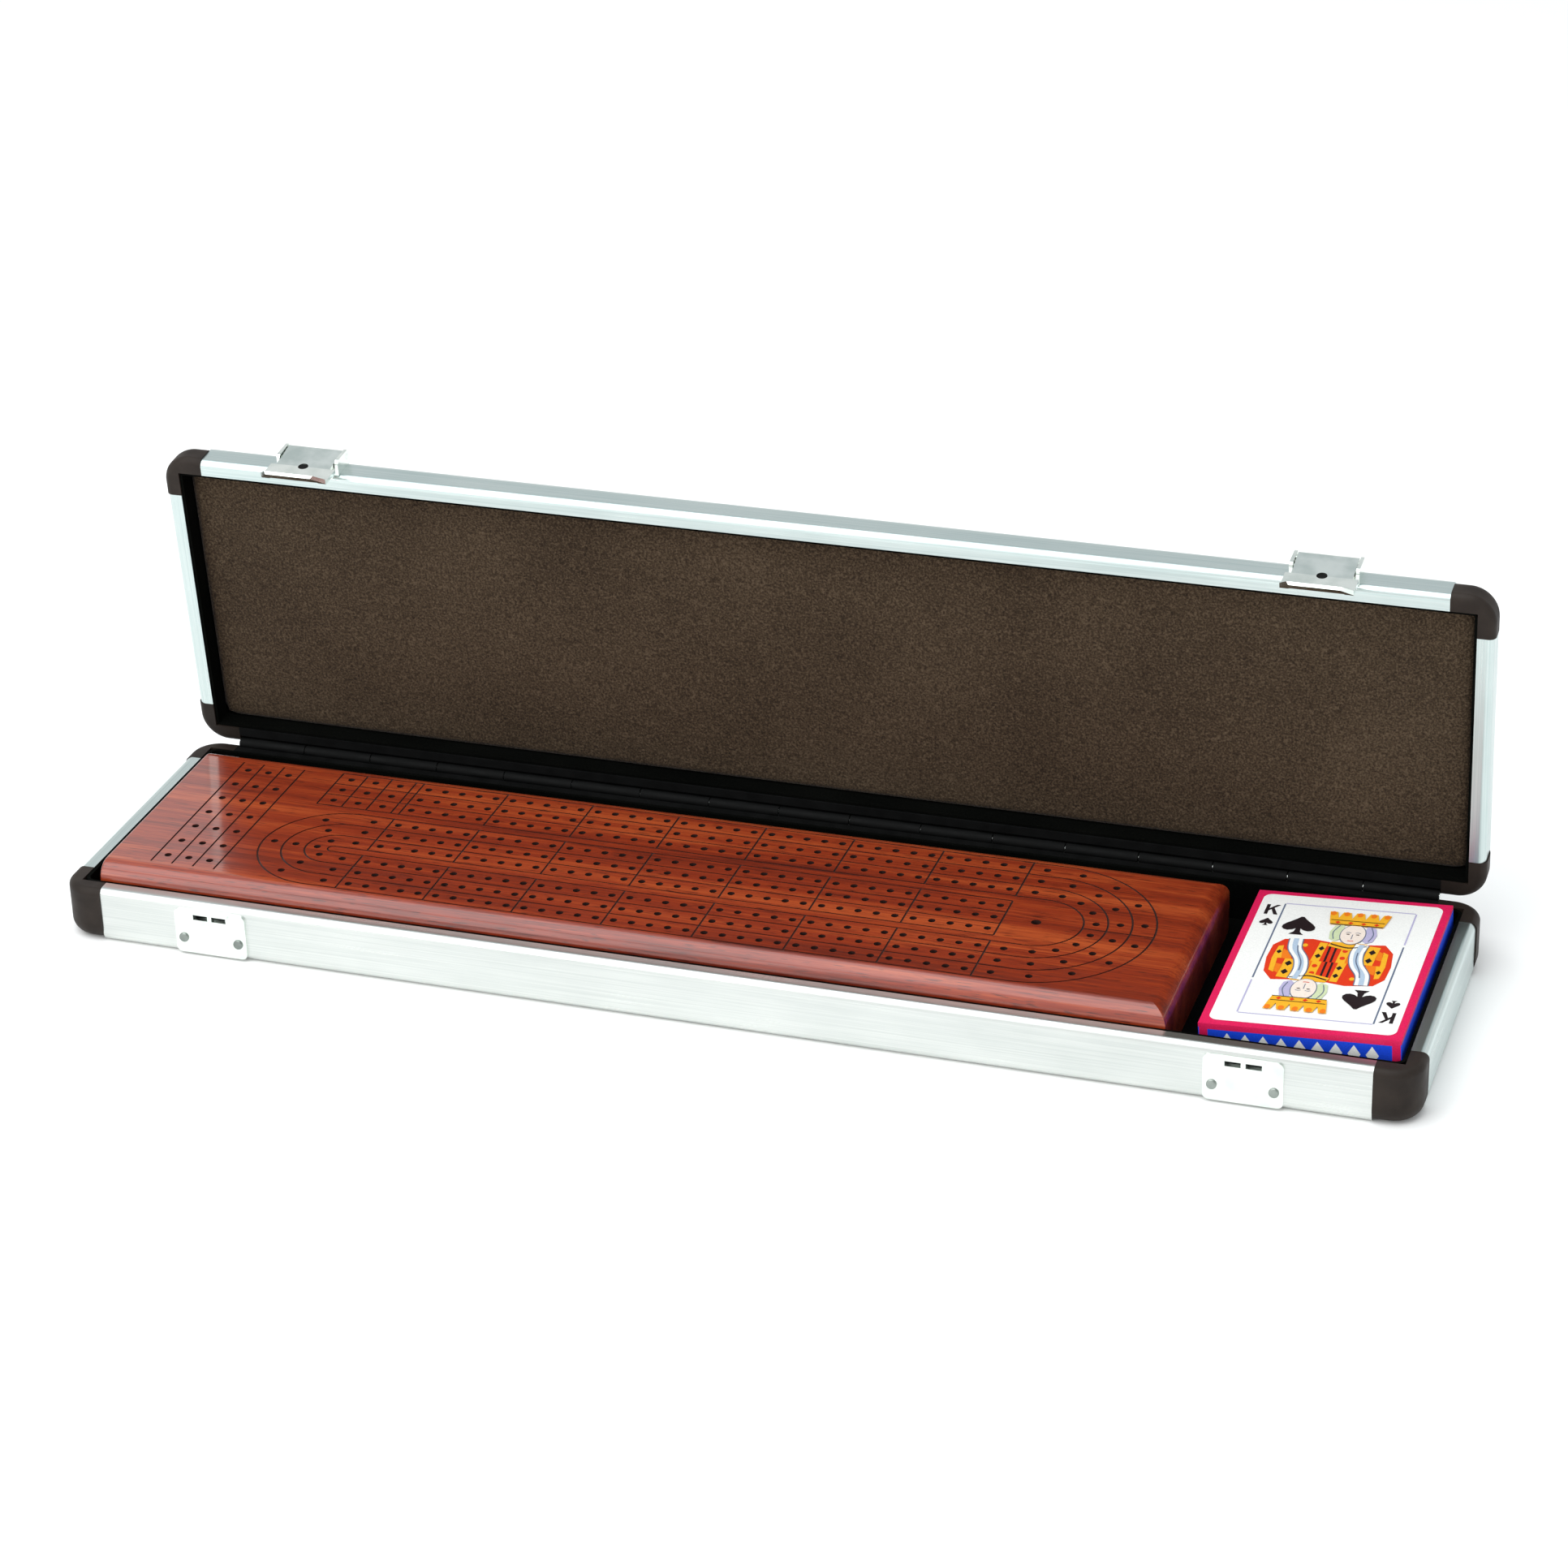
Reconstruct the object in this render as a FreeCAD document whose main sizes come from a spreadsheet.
import FreeCAD, Part
import math
import os
import re
import Sketcher

# Cribbage set in a hinged aluminium case: a three-track wooden board with pegs stored underneath it
# and a carton of cards, lying in a shallow tray under a foam-lined lid that stands open.
# Frame: X along the case, Y from the latches to the hinge, Z up. The pieces are placed about the middle
# of the base, then all shifted so that the origin lies under the middle of the open set.

doc = FreeCAD.newDocument("cribbage_set")
sheet = doc.addObject("Spreadsheet::Sheet", "dims")

SIZES = [
    ("case_length", 468, "outside length of the case"),
    ("case_width", 116, "outside width of the case"),
    ("closed_height", 32, "base and lid together when shut"),
    ("axis_height", 20, "hinge axis and split between base and lid"),
    ("split_gap", 0.2, "each rim stops this far from the split"),
    ("open_angle", 84.3, "lid opening shown"),
    ("frame_shift", 5, "middle of the base to the middle of the open set, along Y"),
    ("rail_width", 5.5, "frame profile, outside to inside"),
    ("rail_wall", 1.3, "wall of the hollow profile"),
    ("hollow_low", 4, "hollow starts above the panel side"),
    ("hollow_top", 3, "solid part under the rim"),
    ("rim_round", 2.4, "outer rim rounding"),
    ("foot_round", 3, "outer rounding on the panel side"),
    ("slot_start", 3, "panel slot, distance from the outside"),
    ("slot_low", 1.2, "panel slot, distance from the panel side"),
    ("slot_width", 1.4, "panel slot opening"),
    ("hinge_notch", 2.4, "room for the hinge barrel"),
    ("corner_leg", 15, "length of each corner leg"),
    ("corner_proud", 0.5, "corners stand out past the rails"),
    ("corner_wall", 6, "wall of a corner"),
    ("corner_floor", 2.4, "gusset that closes the corner"),
    ("corner_radius", 10, "corner rounding in plan"),
    ("corner_foot", 5.5, "corner rounding on the panel side"),
    ("tenon_length", 8, "corner tongue inside a rail"),
    ("fit", 0.1, "clearance of pushed-together pieces"),
    ("panel_thick", 1.3, "sheet of the base and lid"),
    ("tray_gap", 0.1, "tray to frame"),
    ("tray_wall", 1.2, "wall of the tray"),
    ("tray_floor", 2.9, "floor of the tray"),
    ("tray_height", 17, "height of the tray"),
    ("tray_round", 4, "tray corner rounding"),
    ("ledge_width", 5, "ledge at the card end"),
    ("ledge_height", 3.2, "ledge above the tray floor"),
    ("foam_thick", 3.3, "lid foam"),
    ("foam_gap", 1.2, "lid foam to frame"),
    ("liner_wall", 0.9, "wall of the lid liner"),
    ("liner_round", 2, "outer corner rounding of the lid liner"),
    ("liner_low", 0.6, "lid liner below the rim"),
    ("hinge_length", 437.6, "length of the hinge"),
    ("knuckles", 17, "knuckles along the hinge"),
    ("knuckle_gap", 0.4, "gap between knuckles"),
    ("barrel_radius", 2, "hinge barrel"),
    ("hinge_bore", 1.05, "hole for the hinge pin"),
    ("hinge_pin_radius", 1, "hinge pin"),
    ("leaf_thick", 1, "hinge leaf"),
    ("leaf_reach", 9.6, "hinge axis to the edge of a leaf"),
    ("leaf_inset", 2.4, "leaf edge to the hinge axis line cleared"),
    ("rivet_hole", 1, "rivet hole radius"),
    ("rivet_shank", 0.95, "rivet shank radius"),
    ("rivet_head", 1.7, "rivet head radius"),
    ("rivet_rise", 0.7, "rivet head height"),
    ("rivet_length", 2.4, "rivet shank below the head"),
    ("rivet_count", 6, "rivets along each hinge leaf"),
    ("rivet_spacing", 82, "distance between hinge rivets"),
    ("hinge_rivet_rise", 4, "hinge rivets above the leaf edge"),
    ("latch_offset", 178, "latch centre from the middle of the case"),
    ("latch_width", 23, "latch channel width"),
    ("channel_floor", 0.8, "latch channel floor"),
    ("channel_wall", 1.2, "latch channel flange"),
    ("channel_rise", 5.6, "flange height"),
    ("channel_start", 1, "channel edge below the lid top"),
    ("channel_length", 10, "channel length"),
    ("pivot_out", 3.3, "lever pivot out of the frame"),
    ("pivot_down", 3.1, "lever pivot below the lid top"),
    ("pivot_radius", 0.9, "lever pin"),
    ("pivot_bore", 0.95, "hole for the lever pin"),
    ("lever_barrel", 2, "lever barrel radius"),
    ("lever_width", 20, "lever width"),
    ("lever_top", 5.4, "outer face of the lever at its pivot"),
    ("lever_thick", 1.2, "lever plate"),
    ("lever_bend", 14.4, "lever runs parallel to the frame from here"),
    ("lever_in", 2.9, "inner face of the parallel part out of the frame"),
    ("lever_wide", 24, "width of the parallel part"),
    ("claw_tip", 2.2, "claw tip out of the frame"),
    ("claw_top", 16.2, "claw below the lid top"),
    ("claw_low", 17.4, "underside of the claw tip"),
    ("lip_start", 22, "finger lip begins"),
    ("lip_end", 27.2, "finger lip ends"),
    ("lip_out", 7.8, "finger lip out of the frame"),
    ("lip_taper", 4.6, "slanted ends of the finger lip"),
    ("lip_slot", 1.2, "slot between plate and lip"),
    ("lip_slot_width", 18, "slot between plate and lip"),
    ("lever_hole", 1.8, "round hole in the lever"),
    ("lever_hole_down", 14.4, "lever hole below the lid top"),
    ("plug_sink", 0.2, "plug below the outer face of the lever"),
    ("channel_rivet_in", 6, "channel rivets from the channel side"),
    ("channel_rivet_down", 8, "channel rivets below the lid top"),
    ("catch_width", 26, "catch plate width"),
    ("catch_low", 1, "catch plate above the table"),
    ("catch_high", 17.4, "catch plate top"),
    ("catch_thick", 0.8, "catch plate"),
    ("hook_start", 6, "hook from the plate edge"),
    ("hook_low", 16.2, "underside of the hook"),
    ("hook_out", 1.6, "hook out of the frame"),
    ("window_low", 13.9, "stamped windows under the hook"),
    ("window_high", 15.7, "top of the windows"),
    ("window_width", 5.2, "width of a window"),
    ("window_gap", 1.6, "bar between the windows"),
    ("catch_rivet_in", 3, "catch rivets from the plate edge"),
    ("catch_rivet_up", 6.6, "catch rivets above the table"),
    ("board_length", 373.2, "board"),
    ("board_width", 92, "board"),
    ("board_thick", 20, "board"),
    ("board_left", -222.2, "left end of the board"),
    ("board_front", -50.4, "front edge of the board"),
    ("board_round", 6, "rounding of the long top edges and the right end"),
    ("board_end", 0.8, "rounding of the left end"),
    ("board_foot", 2, "rounding of the long lower edges"),
    ("hole_radius", 1.25, "peg hole"),
    ("hole_depth", 9, "peg hole"),
    ("finish_radius", 1.7, "last hole"),
    ("pitch", 6.35, "holes along a street"),
    ("lane", 8, "lane to lane across a street"),
    ("street", 27.7, "street to street"),
    ("street_start", 85.1, "first line of the streets from the left end"),
    ("turn_lead", 11.2, "straight part before the big turn"),
    ("small_lead", 11.9, "straight part before the small turn"),
    ("start_pitch", 9.3, "columns of the start block"),
    ("start_lead", 30.9, "start block ahead of the first line"),
    ("games_left", 16.2, "games-won block from the left end"),
    ("games_lane", 7.8, "columns of the games-won block"),
    ("games_pitch", 11, "rows of the games-won block"),
    ("groove", 0.65, "width of an engraved line"),
    ("groove_depth", 0.4, "depth of an engraved line"),
    ("store_start", 9, "peg store from the left end"),
    ("store_length", 76, "peg store"),
    ("store_width", 17, "peg store"),
    ("store_depth", 5.6, "peg store above the cover slide"),
    ("mouth_depth", 0.8, "lips that hold the cover"),
    ("slide_depth", 1.7, "cover slide"),
    ("slide_width", 20.4, "cover slide"),
    ("slide_length", 173.2, "cover slide from the left end"),
    ("cover_length", 82, "peg store cover"),
    ("cover_width", 20, "peg store cover"),
    ("cover_thick", 1.5, "peg store cover"),
    ("thumb_radius", 5, "thumb dimple"),
    ("thumb_depth", 0.6, "thumb dimple"),
    ("peg_grip", 2.1, "peg grip radius"),
    ("peg_shank", 1.1, "peg shank radius"),
    ("peg_grip_length", 13, "peg grip"),
    ("peg_length", 22, "peg"),
    ("peg_column", 24.5, "peg to peg along the store"),
    ("peg_row", 5, "peg to peg across the store"),
    ("carton_width", 65, "card carton"),
    ("carton_length", 91, "card carton"),
    ("carton_thick", 15.4, "card carton"),
    ("carton_wall", 0.5, "carton board"),
    ("carton_left", 161.3, "lower left edge of the carton"),
    ("carton_front", -46, "front of the carton"),
    ("carton_tilt", 3, "carton leaning on the ledge"),
    ("flap_tongue", 13, "tucked part of the flap"),
    ("card_width", 63, "playing card"),
    ("card_length", 88, "playing card"),
    ("deck_thick", 13.6, "stack of cards"),
    ("card_round", 3.5, "card corner"),
]

for row, (alias, amount, note) in enumerate(SIZES, 1):
    sheet.set(f"A{row}", note)
    sheet.set(f"B{row}", str(amount))
    sheet.setAlias(f"B{row}", alias)
doc.recompute()
ALIASES = {entry[0] for entry in SIZES}
PIECES = []


def size(alias):
    """Value of one sheet entry."""
    return float(sheet.get(alias))


def linked(text):
    """Expression text with every alias pointing at the sheet."""
    return re.sub(r"[a-z_]+", lambda word: f"dims.{word[0]}" if word[0] in ALIASES else word[0], text)


def new_body(name, placement=FreeCAD.Placement()):
    """Empty body that becomes one file."""
    body = doc.addObject("PartDesign::Body", name)
    body.Label = name
    body.AllowCompound = True
    body.Placement = placement
    PIECES.append(body)
    return body


def origin_item(body, role):
    """Origin plane or axis of a body."""
    return next(item for item in body.Origin.OriginFeatures if item.Role == role)


def new_sketch(body, role, lift="0"):
    """Sketch on an origin plane of the body, moved along the plane normal."""
    sketch = body.newObject("Sketcher::SketchObject", "sketch")
    sketch.AttachmentSupport = (origin_item(body, role), [""])
    sketch.MapMode = "FlatFace"
    sketch.setExpression("AttachmentOffset.Base.z", linked(lift))
    return sketch


def hold(sketch, kind, geometry, corner, text):
    """Tie one coordinate of a point to the sheet."""
    axis = -2 if kind == "DistanceX" else -1
    if text == "0":
        sketch.addConstraint(Sketcher.Constraint("PointOnObject", geometry, corner, axis))
        return
    index = sketch.addConstraint(Sketcher.Constraint(kind, -1, 1, geometry, corner, 1.0))
    sketch.setExpression(f"Constraints[{index}]", linked(text))


def outline(sketch, points):
    """Closed outline through points given as sheet expressions."""
    first = sketch.GeometryCount
    count = len(points)
    spots = []
    for step in range(count):
        turn = 2 * math.pi * step / count
        spots.append(FreeCAD.Vector(9 + 5 * math.cos(turn), 9 + 5 * math.sin(turn), 0))
    for step in range(count):
        line = Part.LineSegment(spots[step], spots[(step + 1) % count])
        sketch.addGeometry(line, False)
    for step in range(count):
        following = first + (step + 1) % count
        sketch.addConstraint(Sketcher.Constraint("Coincident", first + step, 2, following, 1))
    for step, (across, up) in enumerate(points):
        hold(sketch, "DistanceX", first + step, 1, across)
        hold(sketch, "DistanceY", first + step, 1, up)


def rectangle(sketch, left, low, right, high):
    """Rectangle between two corners given as sheet expressions."""
    outline(sketch, [(left, low), (right, low), (right, high), (left, high)])


def circle(sketch, across, up, radius):
    """Circle whose centre and radius are sheet expressions."""
    centre = FreeCAD.Vector(1, 1, 0)
    index = sketch.addGeometry(Part.Circle(centre, FreeCAD.Vector(0, 0, 1), 1), False)
    hold(sketch, "DistanceX", index, 3, across)
    hold(sketch, "DistanceY", index, 3, up)
    limit = sketch.addConstraint(Sketcher.Constraint("Radius", index, 1.0))
    sketch.setExpression(f"Constraints[{limit}]", linked(radius))


def pad(body, sketch, length, backwards=False):
    """Raise a sketch."""
    feature = body.newObject("PartDesign::Pad", "pad")
    feature.Profile = sketch
    feature.setExpression("Length", linked(length))
    feature.Reversed = backwards
    body.Tip = feature
    return feature


def cut(body, sketch, length, backwards=False):
    """Sink a sketch to a depth."""
    feature = body.newObject("PartDesign::Pocket", "cut")
    feature.Profile = sketch
    feature.setExpression("Length", linked(length))
    feature.Reversed = backwards
    body.Tip = feature
    return feature


def cut_through(body, sketch):
    """Cut a sketch through everything on both sides."""
    feature = body.newObject("PartDesign::Pocket", "through")
    feature.Profile = sketch
    feature.Type = "ThroughAll"
    feature.Midplane = True
    body.Tip = feature
    return feature


def round_edges(body, radius, wanted):
    """Round the edges that the test picks."""
    doc.recompute()
    tip = body.Tip
    names = [f"Edge{place}" for place, edge in enumerate(tip.Shape.Edges, 1) if wanted(edge)]
    feature = body.newObject("PartDesign::Fillet", "rounding")
    feature.Base = (tip, names)
    feature.setExpression("Radius", linked(radius))
    body.Tip = feature
    doc.recompute()
    return feature


def repeat(body, feature, axis, spacing, count):
    """Repeat a feature along an axis of the body."""
    row = body.newObject("PartDesign::LinearPattern", "row")
    row.Originals = [feature]
    row.Direction = (origin_item(body, axis), [""])
    row.Mode = "Spacing"
    row.setExpression("Offset", linked(spacing))
    row.setExpression("Occurrences", linked(count))
    body.Tip = row
    return row


def box_of(edge):
    """Bounding box of an edge."""
    return edge.BoundBox


def runs_along_x(edge, y, z):
    """True for an edge parallel to X at the given y and z."""
    box = box_of(edge)
    flat = max(box.YMax - box.YMin, box.ZMax - box.ZMin)
    return flat < 0.01 and abs(box.YMin - y) < 0.01 and abs(box.ZMin - z) < 0.01


def upright(edge):
    """True for an edge parallel to Z."""
    box = box_of(edge)
    return max(box.XMax - box.XMin, box.YMax - box.YMin) < 0.01


def stands_at_origin(edge):
    """True for the upright edge on the Z axis."""
    box = box_of(edge)
    return upright(edge) and max(abs(box.XMax), abs(box.YMax)) < 0.01


def at_height(edge, z):
    """True for an edge lying flat at one height."""
    box = box_of(edge)
    return abs(box.ZMin - z) < 0.01 and abs(box.ZMax - z) < 0.01


def turned(axis, angle, centre=FreeCAD.Vector(0, 0, 0)):
    """Placement that turns about an axis through a point."""
    return FreeCAD.Placement(FreeCAD.Vector(0, 0, 0), FreeCAD.Rotation(axis, angle), centre)


def moved(x, y, z):
    """Placement that only shifts."""
    return FreeCAD.Placement(FreeCAD.Vector(x, y, z), FreeCAD.Rotation())


X_AXIS = FreeCAD.Vector(1, 0, 0)
Z_AXIS = FreeCAD.Vector(0, 0, 1)
HINGE = FreeCAD.Vector(0, size("case_width") / 2, size("axis_height"))
MIDDLE = FreeCAD.Vector(0, 0, size("closed_height") / 2)
BASE = moved(0, 0, 0)
# the lid is drawn like a base, then turned over and swung open
LID = turned(X_AXIS, -size("open_angle"), HINGE).multiply(turned(X_AXIS, 180, MIDDLE))
BASE_RIM = "(axis_height - split_gap)"
LID_RIM = "(closed_height - axis_height - split_gap)"
LONG_SIDE = "(case_length - 2 * corner_leg)"
SHORT_SIDE = "(case_width - 2 * corner_leg)"
HALF_LENGTH = size("case_length") / 2
HALF_WIDTH = size("case_width") / 2
PROUD = size("corner_proud")
LEG = size("corner_leg")
FACE = HALF_WIDTH - PROUD


def rail(name, length, height, placement, holes=(), hinged=False, windows=()):
    """Hollow frame rail along X: outside at y = 0, panel side at z = 0, rim on top."""
    body = new_body(name, placement)
    section = new_sketch(body, "YZ_Plane")
    rectangle(section, "0", "0", "rail_width", height)
    pad(body, section, length)
    round_edges(body, "foot_round", lambda edge: runs_along_x(edge, 0, 0))
    if hinged:
        notch = new_sketch(body, "YZ_Plane")
        rectangle(notch, "-1", f"{height} - hinge_notch", "hinge_notch", f"{height} + 1")
        cut_through(body, notch)
    else:
        top = body.Tip.Shape.BoundBox.ZMax
        round_edges(body, "rim_round", lambda edge: runs_along_x(edge, 0, top))
    hollow = new_sketch(body, "YZ_Plane")
    rectangle(hollow, "rail_wall", "hollow_low", "rail_width - rail_wall", f"{height} - hollow_top")
    cut_through(body, hollow)
    slot = new_sketch(body, "YZ_Plane")
    rectangle(slot, "slot_start", "slot_low", "rail_width + 1", "slot_low + slot_width")
    cut_through(body, slot)
    if holes:
        drilled = new_sketch(body, "XZ_Plane")
        for across, up in holes:
            circle(drilled, across, up, "rivet_hole")
        for near, far in windows:
            rectangle(drilled, near, "window_low", far, "window_high")
        cut(body, drilled, "rail_wall + 0.5")


def corner(name, height, placement):
    """Moulded corner with its outer point at the origin, one leg along X and one along Y."""
    body = new_body(name, placement)
    block = new_sketch(body, "XY_Plane")
    rectangle(block, "0", "0", "corner_leg", "corner_leg")
    pad(body, block, height)
    round_edges(body, "corner_radius", stands_at_origin)
    top = body.Tip.Shape.BoundBox.ZMax
    inside = LEG - 0.5

    def outer(edge, z):
        centre = edge.CenterOfMass
        return at_height(edge, z) and centre.x < inside and centre.y < inside

    round_edges(body, "corner_foot", lambda edge: outer(edge, 0))
    round_edges(body, "rim_round", lambda edge: outer(edge, top))
    well = new_sketch(body, "XY_Plane", "corner_floor")
    rectangle(well, "corner_wall", "corner_wall", "corner_leg + 1", "corner_leg + 1")
    cut(body, well, height, True)
    for plane, backwards in (("YZ_Plane", False), ("XZ_Plane", True)):
        lift = "corner_radius" if plane == "YZ_Plane" else "-corner_radius"
        tenon = new_sketch(body, plane, lift)
        near = "corner_proud + rail_wall + fit"
        far = "corner_proud + rail_width - rail_wall - fit"
        rectangle(tenon, near, "hollow_low + fit", far, f"{height} - hollow_top - fit")
        pad(body, tenon, "corner_leg - corner_radius + tenon_length", backwards)


def frame(prefix, height, carrier, front_holes, rear_holes, windows=()):
    """Four rails and four corners of one half of the case."""
    front = carrier.multiply(moved(LEG - HALF_LENGTH, -FACE, 0))
    rear = carrier.multiply(moved(HALF_LENGTH - LEG, FACE, 0)).multiply(turned(Z_AXIS, 180))
    if prefix == "lid":
        front, rear = rear, front
    rail(f"{prefix}_rail_front", LONG_SIDE, height, front, front_holes, False, windows)
    rail(f"{prefix}_rail_rear", LONG_SIDE, height, rear, rear_holes, True)
    left = moved(PROUD - HALF_LENGTH, HALF_WIDTH - LEG, 0).multiply(turned(Z_AXIS, -90))
    right = moved(HALF_LENGTH - PROUD, LEG - HALF_WIDTH, 0).multiply(turned(Z_AXIS, 90))
    rail(f"{prefix}_rail_left", SHORT_SIDE, height, carrier.multiply(left))
    rail(f"{prefix}_rail_right", SHORT_SIDE, height, carrier.multiply(right))
    spots = [(-1, -1, 0), (1, -1, 90), (1, 1, 180), (-1, 1, 270)]
    for side, end, angle in spots:
        spot = moved(side * HALF_LENGTH, end * HALF_WIDTH, 0).multiply(turned(Z_AXIS, angle))
        place = carrier.multiply(spot)
        across = "left" if place.Base.x < 0 else "right"
        near_hinge = end > 0 if prefix == "base" else end < 0
        depth = "rear" if near_hinge else "front"
        corner(f"{prefix}_corner_{depth}_{across}", height, place)


def panel(name, carrier):
    """Sheet held in the rail slots, notched for the corners."""
    inset = "(corner_proud + slot_start + fit)"
    length = f"(case_length - 2 * {inset})"
    width = f"(case_width - 2 * {inset})"
    notch = f"(corner_leg + fit - {inset})"
    edge = PROUD + size("slot_start") + size("fit")
    low = size("slot_low") + (size("slot_width") - size("panel_thick")) / 2
    body = new_body(name, carrier.multiply(moved(edge - HALF_LENGTH, edge - HALF_WIDTH, low)))
    sheet_outline = new_sketch(body, "XY_Plane")
    rectangle(sheet_outline, "0", "0", length, width)
    pad(body, sheet_outline, "panel_thick")
    corners = new_sketch(body, "XY_Plane")
    for left, right in (("-1", notch), (f"{length} - {notch}", f"{length} + 1")):
        for low_side, high_side in (("-1", notch), (f"{width} - {notch}", f"{width} + 1")):
            rectangle(corners, left, low_side, right, high_side)
    cut_through(body, corners)


def hinge_leaf(name, first, count, carrier):
    """Leaf with every second knuckle; the hinge axis runs above its upper edge."""
    step = "hinge_length / knuckles"
    body = new_body(name, carrier)
    plate = new_sketch(body, "YZ_Plane")
    rectangle(plate, "0", "0", "leaf_thick", "leaf_reach - leaf_inset")
    pad(body, plate, "hinge_length")
    start = f"{first} * {step} + knuckle_gap / 2"
    length = f"{step} - knuckle_gap"
    tab = new_sketch(body, "YZ_Plane", start)
    rectangle(tab, "0", "leaf_reach - leaf_inset - 1", "leaf_thick", "leaf_reach")
    tabs = pad(body, tab, length)
    barrel = new_sketch(body, "YZ_Plane", start)
    circle(barrel, "leaf_thick / 2", "leaf_reach", "barrel_radius")
    barrels = pad(body, barrel, length)
    row = body.newObject("PartDesign::LinearPattern", "row")
    row.Originals = [tabs, barrels]
    row.Direction = (origin_item(body, "X_Axis"), [""])
    row.Mode = "Spacing"
    row.setExpression("Offset", linked(f"2 * {step}"))
    row.Occurrences = count
    body.Tip = row
    bore = new_sketch(body, "YZ_Plane")
    circle(bore, "leaf_thick / 2", "leaf_reach", "hinge_bore")
    cut_through(body, bore)
    hole = new_sketch(body, "XZ_Plane")
    edge = "(hinge_length - (rivet_count - 1) * rivet_spacing) / 2"
    circle(hole, edge, "hinge_rivet_rise", "rivet_hole")
    repeat(body, cut_through(body, hole), "X_Axis", "rivet_spacing", "rivet_count")


def rivets(name, placement, spots):
    """Separate rivets in one file: heads outside y = 0, shanks going to positive y."""
    body = new_body(name, placement)
    shanks = new_sketch(body, "XZ_Plane", "0")
    heads = new_sketch(body, "XZ_Plane", "0")
    for across, up in spots:
        circle(shanks, across, up, "rivet_shank")
        circle(heads, across, up, "rivet_head")
    pad(body, heads, "rivet_rise")
    outermost = -size("rivet_rise")
    round_edges(body, "0.45", lambda edge: abs(edge.BoundBox.YMax - outermost) < 0.01)
    pad(body, shanks, "rivet_length", True)


def latch(side, where):
    """Channel, pin and lever of one latch, drawn outward from the lid frame."""
    place = LID.multiply(moved(where - size("latch_width") / 2, FACE, 0))
    channel = new_body(f"latch_channel_{side}", place)
    floor = new_sketch(channel, "XY_Plane", "channel_start")
    rectangle(floor, "0", "0", "latch_width", "channel_floor")
    pad(channel, floor, "channel_length")
    flanges = new_sketch(channel, "XY_Plane", "channel_start")
    rectangle(flanges, "0", "0", "channel_wall", "channel_rise")
    rectangle(flanges, "latch_width - channel_wall", "0", "latch_width", "channel_rise")
    pad(channel, flanges, "channel_length")
    lower = size("channel_start")
    upper = lower + size("channel_length")
    rise = size("channel_rise")

    def flange_end(edge):
        box = edge.BoundBox
        on_top = abs(box.YMin - rise) < 0.01 and abs(box.YMax - rise) < 0.01
        at_end = at_height(edge, lower) or at_height(edge, upper)
        return on_top and at_end

    round_edges(channel, "1.6", flange_end)
    pin_hole = new_sketch(channel, "YZ_Plane")
    circle(pin_hole, "pivot_out", "pivot_down", "pivot_bore")
    cut_through(channel, pin_hole)
    holes = new_sketch(channel, "XZ_Plane")
    for across in ("channel_rivet_in", "latch_width - channel_rivet_in"):
        circle(holes, across, "channel_rivet_down", "rivet_hole")
    cut_through(channel, holes)

    pin = new_body(f"latch_pin_{side}", place)
    rod = new_sketch(pin, "YZ_Plane")
    circle(rod, "pivot_out", "pivot_down", "pivot_radius")
    pad(pin, rod, "latch_width")

    lever = new_body(f"latch_lever_{side}", place)
    margin = "((latch_width - lever_width) / 2)"
    barrel = new_sketch(lever, "YZ_Plane", margin)
    circle(barrel, "pivot_out", "pivot_down", "lever_barrel")
    pad(lever, barrel, "lever_width")
    upper = new_sketch(lever, "YZ_Plane", margin)
    outline(upper, [
        ("lever_top", "pivot_down"),
        ("lever_in + lever_thick", "lever_bend"),
        ("lever_in", "lever_bend"),
        ("lever_top - lever_thick", "pivot_down"),
    ])
    pad(lever, upper, "lever_width")
    wing = "((latch_width - lever_wide) / 2)"
    lower_part = new_sketch(lever, "YZ_Plane", wing)
    outline(lower_part, [
        ("lever_in + lever_thick", "lever_bend"),
        ("lever_in + lever_thick", "lip_start"),
        ("lip_out", "lip_end - 0.8"),
        ("lip_out - 0.8", "lip_end"),
        ("lever_in", "lip_start + 0.6"),
        ("lever_in", "claw_low"),
        ("claw_tip", "claw_low"),
        ("claw_tip", "claw_top"),
        ("lever_in", "claw_top"),
        ("lever_in", "lever_bend"),
    ])
    pad(lever, lower_part, "lever_wide")
    ends = new_sketch(lever, "XZ_Plane")
    for tip, inner in ((f"{wing} - 1", f"{wing} + lip_taper"),
                       (f"latch_width - {wing} + 1", f"latch_width - {wing} - lip_taper")):
        outline(ends, [(tip, "lip_start"), (inner, "lip_end + 1"), (tip, "lip_end + 1")])
    slot_left = "(latch_width - lip_slot_width) / 2"
    slot_right = "(latch_width + lip_slot_width) / 2"
    rectangle(ends, slot_left, "lip_start", slot_right, "lip_start + lip_slot")
    cut_through(lever, ends)
    bore = new_sketch(lever, "YZ_Plane")
    circle(bore, "pivot_out", "pivot_down", "pivot_bore")
    cut_through(lever, bore)
    hole = new_sketch(lever, "XZ_Plane")
    circle(hole, "latch_width / 2", "lever_hole_down", "lever_hole")
    cut_through(lever, hole)

    plug = new_body(f"lever_plug_{side}", place)
    disc = new_sketch(plug, "XZ_Plane", "-lever_in")
    circle(disc, "latch_width / 2", "lever_hole_down", "lever_hole - 0.02")
    pad(plug, disc, "lever_thick - plug_sink", True)


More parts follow.
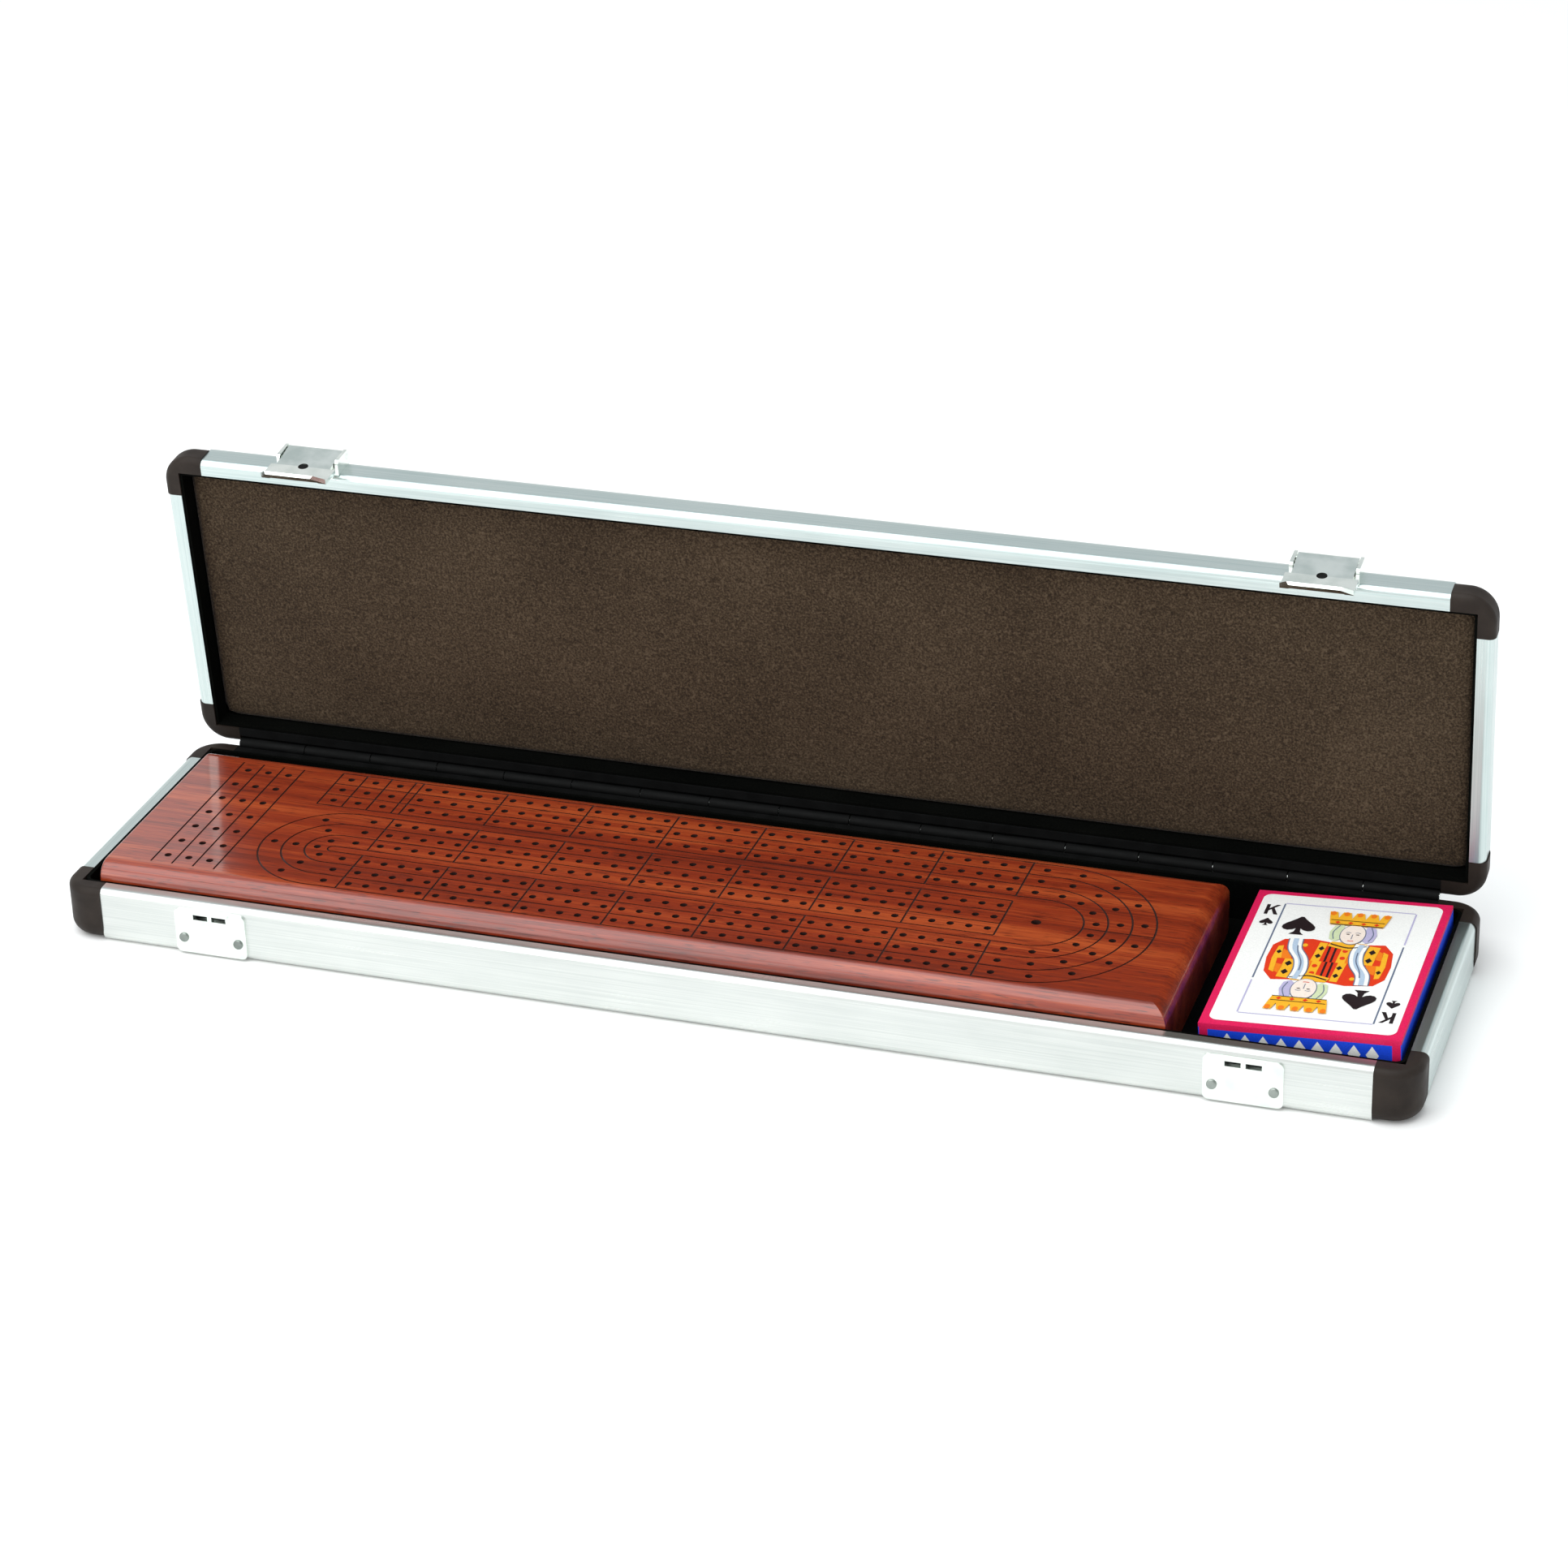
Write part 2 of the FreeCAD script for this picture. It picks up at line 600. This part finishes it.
def catch(side, where):
    """Catch plate with its hook, drawn outward from the base frame."""
    place = moved(where + size("catch_width") / 2, -FACE, 0).multiply(turned(Z_AXIS, 180))
    body = new_body(f"catch_plate_{side}", place)
    plate = new_sketch(body, "XY_Plane", "catch_low")
    rectangle(plate, "0", "0", "catch_width", "catch_thick")
    pad(body, plate, "catch_high - catch_low")
    round_edges(body, "2", plate_corner)
    hook = new_sketch(body, "XY_Plane", "hook_low")
    rectangle(hook, "hook_start", "0", "catch_width - hook_start", "hook_out")
    pad(body, hook, "catch_high - hook_low")
    windows = new_sketch(body, "XZ_Plane")
    for direction in ("-", "+"):
        near = f"catch_width / 2 {direction} window_gap / 2"
        far = f"{near} {direction} window_width"
        rectangle(windows, near, "window_low", far, "window_high")
    cut_through(body, windows)
    holes = new_sketch(body, "XZ_Plane")
    for across in ("catch_rivet_in", "catch_width - catch_rivet_in"):
        circle(holes, across, "catch_rivet_up", "rivet_hole")
    cut_through(body, holes)


def plate_corner(edge):
    """True for the four short edges across the plate thickness."""
    box = edge.BoundBox
    return max(box.XMax - box.XMin, box.ZMax - box.ZMin) < 0.01


# ---- frame of the base and of the lid ----
LEFT_LATCH = "(case_length / 2 - corner_leg - latch_offset)"
RIGHT_LATCH = "(case_length / 2 - corner_leg + latch_offset)"
catch_span = "(catch_width / 2 - catch_rivet_in)"
channel_span = "(latch_width / 2 - channel_rivet_in)"
base_front_holes = []
base_windows = []
lid_front_holes = []
for latch_centre in (LEFT_LATCH, RIGHT_LATCH):
    for sign in ("-", "+"):
        near_bar = f"{latch_centre} {sign} window_gap / 2"
        base_windows.append((near_bar, f"{near_bar} {sign} window_width"))
        base_front_holes.append((f"{latch_centre} {sign} {catch_span}", "catch_rivet_up"))
        lid_front_holes.append((f"{latch_centre} {sign} {channel_span}", "channel_rivet_down"))
first_rivet = "(case_length - 2 * corner_leg - (rivet_count - 1) * rivet_spacing) / 2"


def hinge_holes(up):
    """Rivet holes of a hinge rail at one height."""
    return [(f"{first_rivet} + {n} * rivet_spacing", up) for n in range(int(size("rivet_count")))]


base_rivet_height = "axis_height - leaf_reach + hinge_rivet_rise"
frame("base", BASE_RIM, BASE, base_front_holes, hinge_holes(base_rivet_height), base_windows)
lid_rivet_height = "closed_height - axis_height - leaf_reach + hinge_rivet_rise"
frame("lid", LID_RIM, LID, lid_front_holes, hinge_holes(lid_rivet_height))
panel("base_panel", BASE)
panel("lid_panel", LID)

# ---- hinge ----
leaf_left = -size("hinge_length") / 2
leaf_low = size("axis_height") - size("leaf_reach")
leaf_inner = HALF_WIDTH - size("leaf_thick") / 2
leaf_base = moved(leaf_left, leaf_inner, leaf_low)
swung = turned(X_AXIS, 180 - size("open_angle"), HINGE)
hinge_leaf("base_hinge_leaf", 0, 9, leaf_base)
hinge_leaf("lid_hinge_leaf", 1, 8, swung.multiply(leaf_base))
pin_body = new_body("hinge_pin", moved(leaf_left, HINGE.y, HINGE.z))
pin_section = new_sketch(pin_body, "YZ_Plane")
circle(pin_section, "0", "0", "hinge_pin_radius")
pad(pin_body, pin_section, "hinge_length")
leaf_rivet_start = "(hinge_length - (rivet_count - 1) * rivet_spacing) / 2"
leaf_spots = []
for number in range(int(size("rivet_count"))):
    leaf_spots.append((f"{leaf_rivet_start} + {number} * rivet_spacing", "hinge_rivet_rise"))
outside_leaf = HALF_WIDTH + size("leaf_thick") / 2
base_rivets = moved(-leaf_left, outside_leaf, leaf_low).multiply(turned(Z_AXIS, 180))
rivets("base_hinge_rivets", base_rivets, leaf_spots)
opened = turned(X_AXIS, -size("open_angle"), HINGE)
lid_rivet_low = 2 * size("axis_height") - leaf_low - 2 * size("hinge_rivet_rise")
lid_rivets = opened.multiply(moved(-leaf_left, outside_leaf, lid_rivet_low)).multiply(turned(Z_AXIS, 180))
rivets("lid_hinge_rivets", lid_rivets, leaf_spots)

# ---- latches ----
for side, direction in (("left", -1), ("right", 1)):
    latch(side, direction * size("latch_offset"))
    catch(side, direction * size("latch_offset"))
rivets("catch_rivets", moved(LEG - HALF_LENGTH, -FACE - size("catch_thick"), 0), base_front_holes)
channel_face = LID.multiply(moved(HALF_LENGTH - LEG, FACE + size("channel_floor"), 0))
rivets("channel_rivets", channel_face.multiply(turned(Z_AXIS, 180)), lid_front_holes)

# ---- tray and lid foam ----
wall_in = PROUD + size("rail_width") + size("tray_gap")
panel_top = size("slot_low") + (size("slot_width") + size("panel_thick")) / 2 + 0.05
TRAY_LENGTH = "(case_length - 2 * (corner_proud + rail_width + tray_gap))"
TRAY_WIDTH = "(case_width - 2 * (corner_proud + rail_width + tray_gap))"
tray = new_body("tray_liner", moved(wall_in - HALF_LENGTH, wall_in - HALF_WIDTH, panel_top))
tray_outline = new_sketch(tray, "XY_Plane")
rectangle(tray_outline, "0", "0", TRAY_LENGTH, TRAY_WIDTH)
pad(tray, tray_outline, "tray_height")
round_edges(tray, "tray_round", upright)
inside_sketch = new_sketch(tray, "XY_Plane", "tray_floor")
far_x = f"{TRAY_LENGTH} - tray_wall"
far_y = f"{TRAY_WIDTH} - tray_wall"
rectangle(inside_sketch, "tray_wall", "tray_wall", far_x, far_y)
cut(tray, inside_sketch, "tray_height", True)
well_low = size("tray_floor")
tray_top = size("tray_height")


def tray_inside(edge):
    """True for the inner upright edges of the tray."""
    return upright(edge) and abs(edge.BoundBox.ZMin - well_low) < 0.01


round_edges(tray, "tray_round - tray_wall", tray_inside)
ledge = new_sketch(tray, "XY_Plane", "tray_floor - 1")
rectangle(ledge, f"{far_x} - ledge_width", "8", f"{far_x} + 0.5", f"{TRAY_WIDTH} - 8")
pad(tray, ledge, "ledge_height + 1")

foam_in = PROUD + size("rail_width") + size("foam_gap")
foam = new_body("lid_foam", LID.multiply(moved(foam_in - HALF_LENGTH, foam_in - HALF_WIDTH, panel_top)))
foam_outline = new_sketch(foam, "XY_Plane")
foam_inset = "(corner_proud + rail_width + foam_gap)"
rectangle(foam_outline, "0", "0", f"case_length - 2 * {foam_inset}", f"case_width - 2 * {foam_inset}")
pad(foam, foam_outline, "foam_thick")
round_edges(foam, "tray_round", upright)

liner = new_body("lid_liner", LID.multiply(moved(wall_in - HALF_LENGTH, wall_in - HALF_WIDTH, panel_top)))
liner_outline = new_sketch(liner, "XY_Plane")
rectangle(liner_outline, "0", "0", TRAY_LENGTH, TRAY_WIDTH)
pad(liner, liner_outline, f"{LID_RIM} - liner_low - {panel_top}")
round_edges(liner, "liner_round", upright)
liner_inside = new_sketch(liner, "XY_Plane")
liner_far_x = f"{TRAY_LENGTH} - liner_wall"
liner_far_y = f"{TRAY_WIDTH} - liner_wall"
rectangle(liner_inside, "liner_wall", "liner_wall", liner_far_x, liner_far_y)
cut_through(liner, liner_inside)

# ---- board ----
BOARD_PLACE = moved(size("board_left"), size("board_front"), panel_top + size("tray_floor"))
MIDLINE = "(board_width / 2)"
LAST_LINE = "(street_start + 35 * pitch)"
BIG_TURN = f"({LAST_LINE} + turn_lead)"
SMALL_TURN = "(street_start - small_lead)"
blank = new_body("board_blank", BOARD_PLACE)
blank_outline = new_sketch(blank, "XY_Plane")
rectangle(blank_outline, "0", "0", "board_length", "board_width")
pad(blank, blank_outline, "board_thick")
PIECES.remove(blank)


def long_edge(edge, z):
    """True for a long edge of the board at one height."""
    box = edge.BoundBox
    return at_height(edge, z) and box.XMax - box.XMin > 100


def left_edge(edge):
    """True for the edges around the left end of the board."""
    return edge.BoundBox.XMax < 0.01


def worn_edge(edge):
    """True for the top edges apart from the one at the left end."""
    return at_height(edge, size("board_thick")) and not left_edge(edge)


round_edges(blank, "board_round", worn_edge)
round_edges(blank, "board_foot", lambda edge: long_edge(edge, 0))
round_edges(blank, "board_end", left_edge)
mouth = new_sketch(blank, "XY_Plane")
slide_low = f"{MIDLINE} - slide_width / 2"
slide_high = f"{MIDLINE} + slide_width / 2"
store_low = f"{MIDLINE} - store_width / 2"
store_high = f"{MIDLINE} + store_width / 2"
rectangle(mouth, "-1", store_low, "slide_length", store_high)
cut(blank, mouth, "mouth_depth", True)
slide = new_sketch(blank, "XY_Plane", "mouth_depth")
rectangle(slide, "-1", slide_low, "slide_length", slide_high)
cut(blank, slide, "slide_depth", True)
store = new_sketch(blank, "XY_Plane", "mouth_depth + slide_depth")
rectangle(store, "store_start", store_low, "store_start + store_length", store_high)
cut(blank, store, "store_depth", True)


def holes(spots, radius="hole_radius"):
    """Blind peg holes in the top of the board."""
    drilled = new_sketch(blank, "XY_Plane", "board_thick")
    for across, up in spots:
        circle(drilled, across, up, radius)
    return cut(blank, drilled, "hole_depth")


STREETS = ("- street", "", "+ street")
LANES = ("- lane", "", "+ lane")
street_spots = []
for street in STREETS:
    for lane in LANES:
        street_spots.append(("street_start + pitch / 2", f"{MIDLINE} {street} {lane}"))
repeat(blank, holes(street_spots), "X_Axis", "pitch", "35")
start_spots = []
for column in range(3):
    across = f"street_start - start_lead + {column + 0.5} * start_pitch"
    for lane in LANES:
        start_spots.append((across, f"{MIDLINE} + street {lane}"))
holes(start_spots)
games_spots = []
for column in range(3):
    across = f"games_left + {column + 0.5} * games_lane"
    for row in range(-3, 4):
        games_spots.append((across, f"{MIDLINE} + {row} * games_pitch"))
holes(games_spots)
big_lead = f"{LAST_LINE} + turn_lead / 2"
small_lead_x = "street_start - small_lead / 2"
lead_spots = []
for lane in LANES:
    for street in ("- street", "+ street"):
        lead_spots.append((big_lead, f"{MIDLINE} {street} {lane}"))
    for street in ("- street", "+ 0 * street"):
        lead_spots.append((small_lead_x, f"{MIDLINE} {street} {lane}"))
holes(lead_spots)
turn_spots = []
for lane in LANES:
    for step in range(8):
        angle = f"{(step + 0.5) * 22.5 - 90}"
        reach = f"(street {lane})"
        turn_spots.append((f"{BIG_TURN} + {reach} * cos({angle})", f"{MIDLINE} + {reach} * sin({angle})"))
    for step in range(3):
        angle = f"{120 + step * 60}"
        reach = f"(street / 2 {lane})"
        centre_y = f"{MIDLINE} - street / 2"
        turn_spots.append((f"{SMALL_TURN} + {reach} * cos({angle})", f"{centre_y} + {reach} * sin({angle})"))
holes(turn_spots)
holes([(BIG_TURN, MIDLINE)], "finish_radius")
doc.recompute()

# engraved lines: a solid for every line, from the sheet sizes
GROOVE = size("groove")
TOP = size("board_thick")
CUT_LOW = TOP - size("groove_depth")
CENTRE_Y = size("board_width") / 2
STREET = size("street")
LANE = size("lane")
FIRST_X = size("street_start")
LAST_X = FIRST_X + 35 * size("pitch")
BIG_X = LAST_X + size("turn_lead")
SMALL_X = FIRST_X - size("small_lead")
START_X = FIRST_X - size("start_lead")
HALF_STREET = 1.5 * LANE


def bar(x0, x1, y0, y1):
    """Straight line tool between two corners."""
    corner_point = FreeCAD.Vector(min(x0, x1), min(y0, y1), CUT_LOW)
    return Part.makeBox(abs(x1 - x0), abs(y1 - y0), 2, corner_point)


def along(x0, x1, y):
    """Line along the board."""
    return bar(x0, x1, y - GROOVE / 2, y + GROOVE / 2)


def across_board(x, y0, y1):
    """Line across the board."""
    return bar(x - GROOVE / 2, x + GROOVE / 2, y0, y1)


def half_ring(x, y, radius, to_right):
    """Half circle line that opens to one side."""
    centre = FreeCAD.Vector(x, y, CUT_LOW)
    ring = Part.makeCylinder(radius + GROOVE / 2, 2, centre)
    ring = ring.cut(Part.makeCylinder(radius - GROOVE / 2, 2, centre))
    span = radius + 1
    near = x if to_right else x - span
    keep = Part.makeBox(span, 2 * span, 2, FreeCAD.Vector(near, y - span, CUT_LOW))
    return ring.common(keep)


lines = []
for number in range(4):
    offset = number * LANE - HALF_STREET
    lines.append(half_ring(BIG_X, CENTRE_Y, STREET + offset, True))
    lines.append(along(START_X, BIG_X, CENTRE_Y + STREET + offset))
    lines.append(along(SMALL_X, BIG_X, CENTRE_Y - STREET + offset))
    lines.append(along(SMALL_X, LAST_X, CENTRE_Y + offset))
    lines.append(half_ring(SMALL_X, CENTRE_Y - STREET / 2, STREET / 2 + offset, False))
    start_line = START_X + number * size("start_pitch")
    lines.append(across_board(start_line, CENTRE_Y + STREET - HALF_STREET, CENTRE_Y + STREET + HALF_STREET))
    games_line = size("games_left") + number * size("games_lane")
    games_half = 3.5 * size("games_pitch")
    lines.append(across_board(games_line, CENTRE_Y - games_half, CENTRE_Y + games_half))
for number in range(8):
    group_line = FIRST_X + 5 * number * size("pitch")
    for middle in (CENTRE_Y - STREET, CENTRE_Y, CENTRE_Y + STREET):
        lines.append(across_board(group_line, middle - HALF_STREET, middle + HALF_STREET))
turn_middle = BIG_X + STREET
lines.append(bar(turn_middle - HALF_STREET, turn_middle + HALF_STREET,
                 CENTRE_Y - GROOVE / 2, CENTRE_Y + GROOVE / 2))
engraving = doc.addObject("Part::Feature", "engraving")
engraving.Shape = lines[0].multiFuse(lines[1:])
engraving.Placement = BOARD_PLACE
board = doc.addObject("Part::Cut", "board_body")
board.Label = "board_body"
board.Base = blank
board.Tool = engraving
PIECES.append(board)

# ---- peg store cover and pegs ----
store_middle = size("board_front") + size("board_width") / 2
cover_x = size("board_left") + size("store_start") + (size("store_length") - size("cover_length")) / 2
cover_y = store_middle - size("cover_width") / 2
slack = (size("slide_depth") - size("cover_thick")) / 2
board_low = panel_top + size("tray_floor")
cover_z = board_low + size("mouth_depth") + slack
cover = new_body("peg_cover", moved(cover_x, cover_y, cover_z))
cover_outline = new_sketch(cover, "XY_Plane")
rectangle(cover_outline, "0", "0", "cover_length", "cover_width")
pad(cover, cover_outline, "cover_thick")
dimple = new_sketch(cover, "XY_Plane")
circle(dimple, "cover_length - 3 * thumb_radius", "cover_width / 2", "thumb_radius")
cut(cover, dimple, "thumb_depth", True)

peg_height = cover_z + size("cover_thick") + size("peg_grip") + 0.05
peg_left = size("board_left") + size("store_start") + 2.5
for column, colour in enumerate(("red", "blue", "white")):
    peg_x = peg_left + column * size("peg_column")
    pegs = new_body(f"pegs_{colour}", moved(peg_x, store_middle - size("peg_row"), peg_height))
    half = new_sketch(pegs, "XY_Plane")
    outline(half, [
        ("0", "0"),
        ("peg_length", "0"),
        ("peg_length", "peg_shank - 0.5"),
        ("peg_length - 1", "peg_shank"),
        ("peg_grip_length + 1", "peg_shank"),
        ("peg_grip_length", "peg_grip"),
        ("1", "peg_grip"),
        ("0", "peg_grip - 0.8"),
    ])
    spin = pegs.newObject("PartDesign::Revolution", "spin")
    spin.Profile = half
    spin.ReferenceAxis = (origin_item(pegs, "X_Axis"), [""])
    spin.Angle = 360
    pegs.Tip = spin
    repeat(pegs, spin, "Y_Axis", "peg_row", "3")

# ---- card carton ----
tilt = turned(FreeCAD.Vector(0, 1, 0), -size("carton_tilt"))
carton_corner = moved(size("carton_left"), size("carton_front"), board_low + 0.05)
CARTON = carton_corner.multiply(tilt)
carton = new_body("tuck_box", CARTON)
shell = new_sketch(carton, "XZ_Plane", "-carton_wall")
rectangle(shell, "0", "0", "carton_width", "carton_thick")
pad(carton, shell, "carton_length - carton_wall", True)
hollow_box = new_sketch(carton, "XZ_Plane", "-carton_wall")
inner_x = "carton_width - carton_wall"
inner_z = "carton_thick - carton_wall"
rectangle(hollow_box, "carton_wall", "carton_wall", inner_x, inner_z)
cut(carton, hollow_box, "carton_length - 2 * carton_wall")

flap = new_body("tuck_flap", CARTON)
flap_face = new_sketch(flap, "XZ_Plane")
rectangle(flap_face, "0", "0", "carton_width", "carton_thick")
pad(flap, flap_face, "carton_wall - 0.02", True)
tongue = new_sketch(flap, "XZ_Plane")
tongue_low = "carton_thick - 2 * carton_wall - 0.05"
rectangle(tongue, "carton_wall + 1", tongue_low, f"{inner_x} - 1", f"{inner_z} - 0.05")
pad(flap, tongue, "flap_tongue", True)

deck_x = (size("carton_width") - size("card_width")) / 2
deck_y = (size("carton_length") - size("card_length")) / 2
deck = new_body("card_deck", CARTON.multiply(moved(deck_x, deck_y, size("carton_wall") + 0.05)))
deck_outline = new_sketch(deck, "XY_Plane")
rectangle(deck_outline, "0", "0", "card_width", "card_length")
pad(deck, deck_outline, "deck_thick")
round_edges(deck, "card_round", upright)

shift = moved(0, -size("frame_shift"), 0)
for piece in PIECES:
    piece.Placement = shift.multiply(piece.Placement)
doc.recompute()

for item in doc.Objects:
    states = [state for state in item.State if "Invalid" in state or "Error" in state]
    if states:
        raise RuntimeError(f"{item.Label}: {states}")
os.makedirs("parts", exist_ok=True)
for piece in PIECES:
    shape = piece.Shape
    if shape.isNull() or not shape.isValid():
        raise RuntimeError(f"{piece.Label} has no valid shape")
    shape.exportStep(f"parts/{piece.Label}.step")
    box = shape.BoundBox
    print(f"{piece.Label:26s} {len(shape.Solids)} {shape.Volume:12.1f} "
          f"x {box.XMin:.1f}..{box.XMax:.1f} y {box.YMin:.1f}..{box.YMax:.1f} z {box.ZMin:.1f}..{box.ZMax:.1f}")
